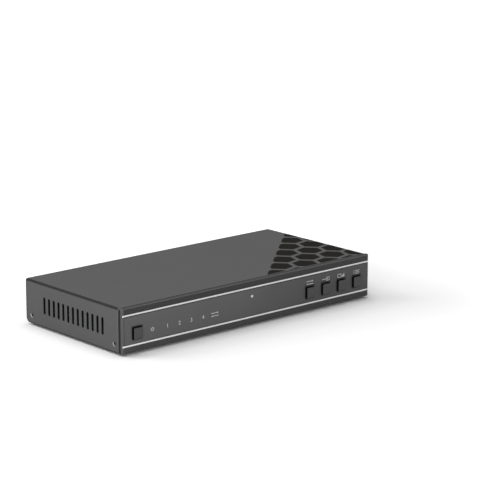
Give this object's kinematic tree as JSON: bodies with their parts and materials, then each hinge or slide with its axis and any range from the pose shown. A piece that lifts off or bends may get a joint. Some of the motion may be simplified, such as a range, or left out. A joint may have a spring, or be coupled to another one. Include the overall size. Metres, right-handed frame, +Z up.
{
  "type": "hdmi switch box",
  "caption": "Low rectangular sheet-metal video switch box with vented sides, a thick front panel with sprung push buttons and lit marks, and a row of sockets at the rear.",
  "frame": {"origin": "middle of the footprint, on the surface that the rubber feet stand on", "axes": "+X to the right along the width seen from the front, +Y from the front panel to the rear wall, +Z up"},
  "size_m": [0.22, 0.1082, 0.0315],
  "materials": {
    "cover_paint": "fine-textured satin powder paint",
    "chassis_paint": "fine-textured satin powder paint",
    "panel_anodised": "dark anodised, bright-cut facets",
    "film": "printed satin polycarbonate",
    "foot_rubber": "matt",
    "screw_black": "blackened steel",
    "screw_zinc": "zinc plated",
    "standoff_brass": "plain",
    "button_plastic": "satin moulded",
    "plunger_plastic": "moulded",
    "switch_case": "moulded",
    "guide_clear": "clear acrylic",
    "lamp_resin": "cast resin",
    "lens_resin": "milky acrylic",
    "receiver_resin": "dark cast resin",
    "board_laminate": "solder-masked glass laminate",
    "insulation_film": "black film",
    "socket_plastic": "moulded",
    "pin_metal": "plated",
    "shell_steel": "nickel plated",
    "block_plastic": "moulded",
    "chip_resin": "moulded epoxy",
    "pad_silicone": "soft silicone",
    "sink_aluminium": "anodised",
    "can_sleeve": "bare can",
    "ferrite": "sintered ferrite",
    "crystal_can": "plated"
  },
  "bodies": {
    "enclosure": {"top_cover": "cover_paint", "bottom_chassis": "chassis_paint", "front_panel": "panel_anodised", "front_film": "film", "rubber_feet": "foot_rubber", "cover_screws": "screw_black", "panel_screws": "screw_zinc", "board_screws": "screw_zinc", "board_standoffs": "standoff_brass", "front_standoffs": "standoff_brass", "switch_bodies": "switch_case", "light_guides": "guide_clear", "indicator_lamps": "lamp_resin", "sensor_lens": "lens_resin", "remote_receiver": "receiver_resin", "front_board": "board_laminate", "main_board": "board_laminate", "insulation_sheet": "insulation_film", "link_header": "socket_plastic", "link_pins": "pin_metal", "video_output": "shell_steel", "contact_blocks": "block_plastic", "power_inlet": "socket_plastic", "inlet_pin": "pin_metal", "audio_socket": "socket_plastic", "main_chip": "chip_resin", "control_chip": "chip_resin", "buffer_chips": "chip_resin", "thermal_pad": "pad_silicone", "heat_sink": "sink_aluminium", "power_capacitors": "can_sleeve", "power_inductor": "ferrite", "clock_crystal": "crystal_can", "video_input_1": "shell_steel", "video_input_2": "shell_steel", "video_input_3": "shell_steel", "video_input_4": "shell_steel"},
    "power_key": {"power_button": "button_plastic", "power_plunger": "plunger_plastic"},
    "function_1_key": {"function_button_1": "button_plastic", "function_plunger_1": "plunger_plastic"},
    "function_2_key": {"function_button_2": "button_plastic", "function_plunger_2": "plunger_plastic"},
    "function_3_key": {"function_button_3": "button_plastic", "function_plunger_3": "plunger_plastic"},
    "function_4_key": {"function_button_4": "button_plastic", "function_plunger_4": "plunger_plastic"}
  },
  "joints": [
    {"name": "power_press", "type": "slide", "parent": "enclosure", "child": "power_key", "axis": [0, 1, 0], "range_m": [0, 0.0005], "stiffness_N_per_m": 500, "springref_m": -0.0015},
    {"name": "function_1_press", "type": "slide", "parent": "enclosure", "child": "function_1_key", "axis": [0, 1, 0], "range_m": [0, 0.0005], "stiffness_N_per_m": 500, "springref_m": -0.0015},
    {"name": "function_2_press", "type": "slide", "parent": "enclosure", "child": "function_2_key", "axis": [0, 1, 0], "range_m": [0, 0.0005], "stiffness_N_per_m": 500, "springref_m": -0.0015},
    {"name": "function_3_press", "type": "slide", "parent": "enclosure", "child": "function_3_key", "axis": [0, 1, 0], "range_m": [0, 0.0005], "stiffness_N_per_m": 500, "springref_m": -0.0015},
    {"name": "function_4_press", "type": "slide", "parent": "enclosure", "child": "function_4_key", "axis": [0, 1, 0], "range_m": [0, 0.0005], "stiffness_N_per_m": 500, "springref_m": -0.0015}
  ]
}
